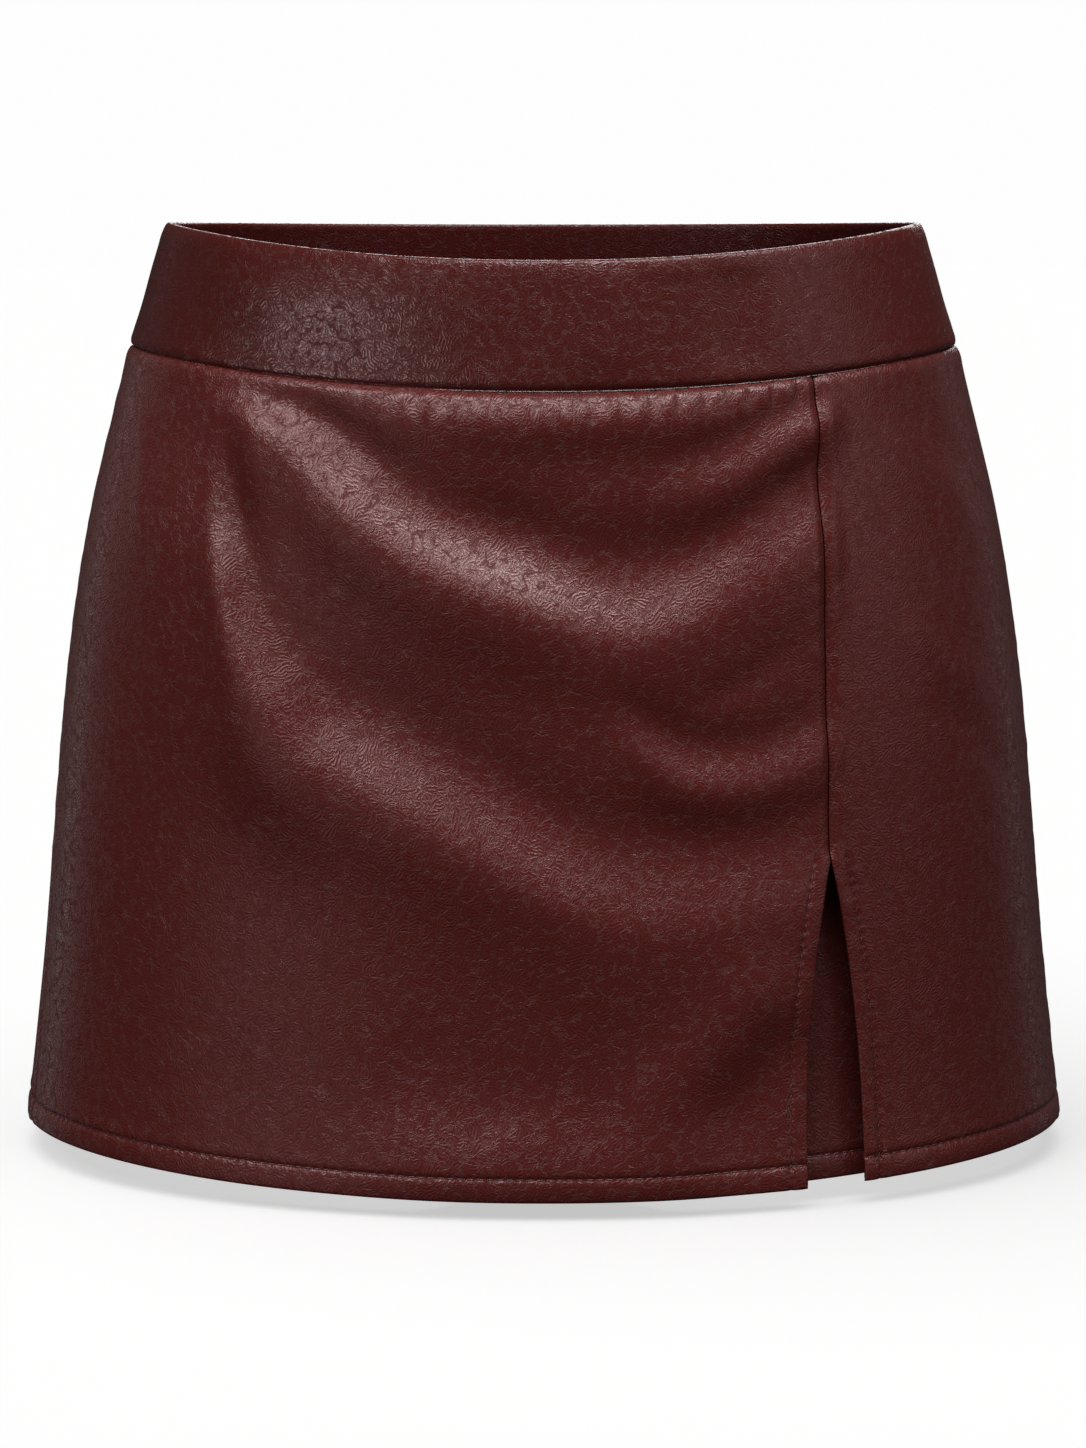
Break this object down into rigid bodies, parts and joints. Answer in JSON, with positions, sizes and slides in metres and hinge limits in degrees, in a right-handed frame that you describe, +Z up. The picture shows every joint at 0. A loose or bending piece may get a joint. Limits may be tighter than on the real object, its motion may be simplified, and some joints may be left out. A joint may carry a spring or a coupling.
{
  "type": "mini skort",
  "caption": "Mini skort in glossy burgundy coated cloth: wide contoured waistband, A-line skirt with a thigh slit, attached shorts under it and a concealed side zip.",
  "frame": {"origin": "centre of the waistband's ring, 22 mm below its top edge at the sides, where the wearer's waist holds it", "axes": "+X to the wearer's left and along the greatest width at the hem, -Y to the front, +Z up along the body"},
  "size_m": [0.3741, 0.2669, 0.3261],
  "materials": {
    "coated_cloth": "burgundy polyurethane coated cloth with an embossed swirling grain and a soft gloss",
    "shorts_cloth": "the same coated cloth, in the skirt's shade",
    "zip_tape": "woven polyester tape with a matt nylon coil",
    "lacquered_metal": "burgundy lacquer over zinc alloy"
  },
  "bodies": {
    "garment": {"waistband_front": "coated_cloth", "waistband_back": "coated_cloth", "front_main_panel": "coated_cloth", "front_side_panel": "coated_cloth", "back_panel": "coated_cloth", "shorts_front_left": "shorts_cloth", "shorts_front_right": "shorts_cloth", "shorts_back_left": "shorts_cloth", "shorts_back_right": "shorts_cloth", "zip_chain": "zip_tape", "zip_slider": "lacquered_metal"},
    "pull_tab": {"zip_pull": "lacquered_metal"}
  },
  "joints": [
    {"name": "pull_tab_hinge", "type": "hinge", "parent": "garment", "child": "pull_tab", "pos_m": [0.13934, 0.01463, 0.01528], "axis": [0.1124, -0.9891, 0.0953], "range_deg": [0, 165]}
  ]
}
